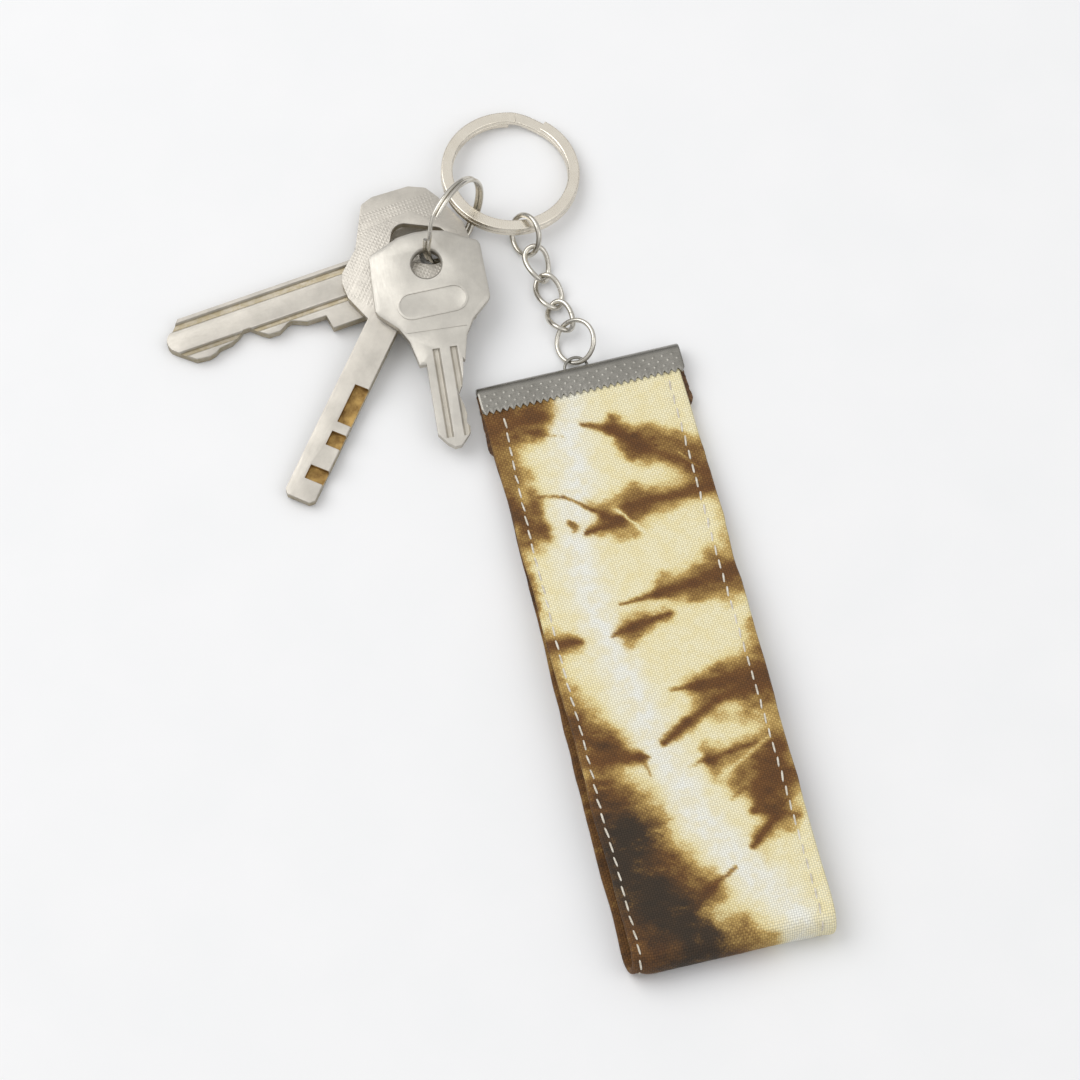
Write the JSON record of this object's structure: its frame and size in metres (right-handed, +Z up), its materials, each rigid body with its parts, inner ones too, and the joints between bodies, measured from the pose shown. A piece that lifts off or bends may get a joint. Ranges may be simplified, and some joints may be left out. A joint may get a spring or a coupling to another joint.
{
  "type": "wristlet keychain",
  "caption": "Fabric wrist loop held by a ribbon clamp, with a curb chain, a split ring and keys on a smaller ring.",
  "frame": {"origin": "middle of the whole object's underside, on the surface it lies on", "axes": "+Y from the strap's fold towards the split ring, +X to the right of the strap, +Z up"},
  "size_m": [0.0904, 0.172, 0.0176],
  "materials": {
    "dyed_canvas": "tie-dyed plain weave, matte",
    "interfacing": "matte non-woven",
    "thread": "matte twisted thread",
    "gunmetal": "dark plated, semi-gloss",
    "nickel_plate": "polished nickel",
    "warm_nickel": "polished warm nickel",
    "key_nickel": "worn nickel plate"
  },
  "bodies": {
    "strap": {"strap_cover": "dyed_canvas", "strap_interfacing": "interfacing", "strap_lining": "dyed_canvas", "end_tab": "dyed_canvas", "stitching_left": "thread", "stitching_right": "thread", "clamp": "gunmetal"},
    "bottom_jump_ring": {"bottom_jump_ring": "nickel_plate"},
    "chain_link_3": {"chain_link_3": "nickel_plate"},
    "chain_link_2": {"chain_link_2": "nickel_plate"},
    "chain_link_1": {"chain_link_1": "nickel_plate"},
    "top_jump_ring": {"top_jump_ring": "nickel_plate"},
    "split_ring": {"split_ring": "warm_nickel"},
    "key_ring": {"key_ring": "nickel_plate"},
    "house_key": {"house_key": "key_nickel"},
    "slot_key": {"slot_key": "key_nickel"},
    "cabinet_key": {"cabinet_key": "key_nickel"}
  },
  "joints": [
    {"name": "bottom_ring_lift", "type": "hinge", "parent": "strap", "child": "bottom_jump_ring", "pos_m": [0.02618, 0.03449, 0.00175], "axis": [1, 0, 0], "range_deg": [-12, 6]},
    {"name": "link_3_swing", "type": "hinge", "parent": "bottom_jump_ring", "child": "chain_link_3", "pos_m": [0.0263, 0.04104, 0.00222], "axis": [0, 0, 1], "range_deg": [-15, 6]},
    {"name": "link_2_lift", "type": "hinge", "parent": "chain_link_3", "child": "chain_link_2", "pos_m": [0.02549, 0.04585, 0.00166], "axis": [1, 0, 0], "range_deg": [-10, 17]},
    {"name": "link_1_swing", "type": "hinge", "parent": "chain_link_2", "child": "chain_link_1", "pos_m": [0.0248, 0.05138, 0.00195], "axis": [0, 0, -1], "range_deg": [-4, 12]},
    {"name": "top_ring_lift", "type": "hinge", "parent": "chain_link_1", "child": "top_jump_ring", "pos_m": [0.02405, 0.05672, 0.00304], "axis": [1, 0, 0], "range_deg": [-8, 15]},
    {"name": "split_ring_turn", "type": "hinge", "parent": "top_jump_ring", "child": "split_ring", "pos_m": [0.02399, 0.0732, 0.00278], "axis": [0.0832, 0.0856, 0.9929], "range_deg": [-30, 3]},
    {"name": "key_ring_swing", "type": "hinge", "parent": "split_ring", "child": "key_ring", "pos_m": [0.01473, 0.06613, 0.00417], "axis": [0.608, -0.7937, 0.0175], "range_deg": [-8, 8]},
    {"name": "house_key_swing", "type": "hinge", "parent": "key_ring", "child": "house_key", "pos_m": [0.00756, 0.05934, 0.00236], "axis": [-0.0226, -0.0024, 0.9997], "range_deg": [-1, 4]},
    {"name": "slot_key_swing", "type": "hinge", "parent": "key_ring", "child": "slot_key", "pos_m": [0.00554, 0.05814, 0.00524], "axis": [-0.0455, -0.0574, 0.9973], "range_deg": [-8, 5]},
    {"name": "cabinet_key_swing", "type": "hinge", "parent": "key_ring", "child": "cabinet_key", "pos_m": [0.00467, 0.05796, 0.00807], "axis": [-0.0106, -0.1214, 0.9925], "range_deg": [-9, 3]}
  ]
}
